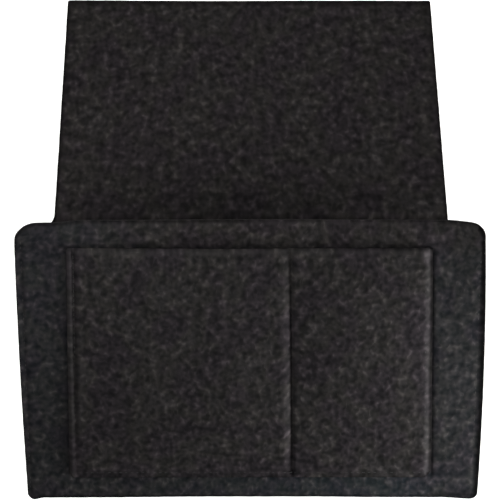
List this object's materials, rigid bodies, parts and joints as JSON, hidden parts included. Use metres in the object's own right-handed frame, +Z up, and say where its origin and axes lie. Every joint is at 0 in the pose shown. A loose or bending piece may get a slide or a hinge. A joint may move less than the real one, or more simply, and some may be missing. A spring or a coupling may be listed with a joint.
{
  "type": "bedside caddy",
  "caption": "Felt bedside caddy: a wide flap tucks under the mattress, and a flat open-topped pouch with a sewn patch of open pockets hangs from its fold.",
  "frame": {"origin": "middle of the fold line, at the inner corner where the flap's underside meets the edge of the bed base", "axes": "+X along the fold, to the right as seen from the front; +Y back along the flap, under the mattress; +Z up. The pouch hangs towards -Z and faces -Y"},
  "size_m": [0.3224, 0.3023, 0.24],
  "materials": {
    "felt": "pressed charcoal melange felt, matt, with a fuzzy surface and cut edges",
    "thread": "matching dark sewing thread, matt"
  },
  "bodies": {
    "flap": {"insert_flap": "felt"},
    "pouch": {"back_panel": "felt", "front_panel": "felt", "pocket_panel": "felt", "left_side_needle_thread": "thread", "left_side_bobbin_thread": "thread", "right_side_needle_thread": "thread", "right_side_bobbin_thread": "thread", "bottom_needle_thread": "thread", "bottom_bobbin_thread": "thread", "pocket_left_needle_thread": "thread", "pocket_left_bobbin_thread": "thread", "pocket_right_needle_thread": "thread", "pocket_right_bobbin_thread": "thread", "pocket_bottom_needle_thread": "thread", "pocket_bottom_bobbin_thread": "thread", "pocket_divider_needle_thread": "thread", "pocket_divider_bobbin_thread": "thread"}
  },
  "joints": [
    {"name": "flap_fold", "type": "hinge", "parent": "flap", "child": "pouch", "pos_m": [0, 0, 0], "axis": [1, 0, 0], "range_deg": [-90, 90]}
  ]
}
